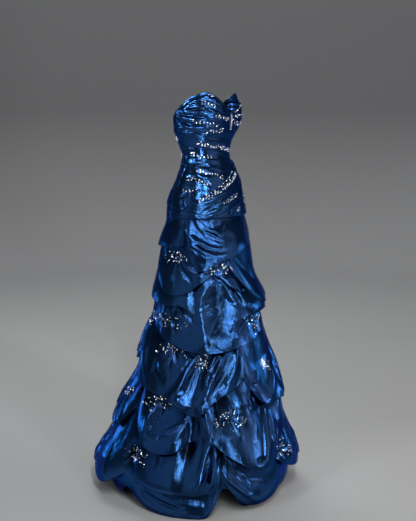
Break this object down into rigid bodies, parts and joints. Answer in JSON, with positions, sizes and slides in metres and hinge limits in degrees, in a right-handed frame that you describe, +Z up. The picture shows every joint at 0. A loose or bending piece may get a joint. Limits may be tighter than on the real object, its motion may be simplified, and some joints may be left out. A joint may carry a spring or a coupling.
{
  "type": "evening dress",
  "caption": "Strapless floor-length evening dress, hollow as worn, with ruched bodice, gathered hip wrap and a skirt picked up into overlapping beaded swags.",
  "frame": {"origin": "the middle of the waist, where the wearer's body holds the dress up", "axes": "+Z up, -Y the front of the dress, +X the wearer's left"},
  "size_m": [0.7371, 0.7352, 1.4182],
  "materials": {
    "taffeta": "glossy midnight-blue taffeta with bright blue highlights",
    "crystal": "faceted clear and silver beads",
    "zip_coil": "navy coil zip",
    "zip_metal": "navy enamelled metal"
  },
  "bodies": {
    "dress": {"bust_right": "taffeta", "bust_left": "taffeta", "midriff_front": "taffeta", "back_right": "taffeta", "back_left": "taffeta", "hip_wrap": "taffeta", "bust_tab": "crystal", "skirt_back_right": "taffeta", "skirt_side_right": "taffeta", "skirt_front": "taffeta", "skirt_side_left": "taffeta", "skirt_back_left": "taffeta", "zip_chain": "zip_coil", "zip_slider": "zip_metal"},
    "pull": {"zip_pull": "zip_metal"}
  },
  "joints": [
    {"name": "pull_hinge", "type": "hinge", "parent": "dress", "child": "pull", "pos_m": [0, 0.1134, 0.1145], "axis": [1, 0, 0], "range_deg": [0, 165]}
  ]
}
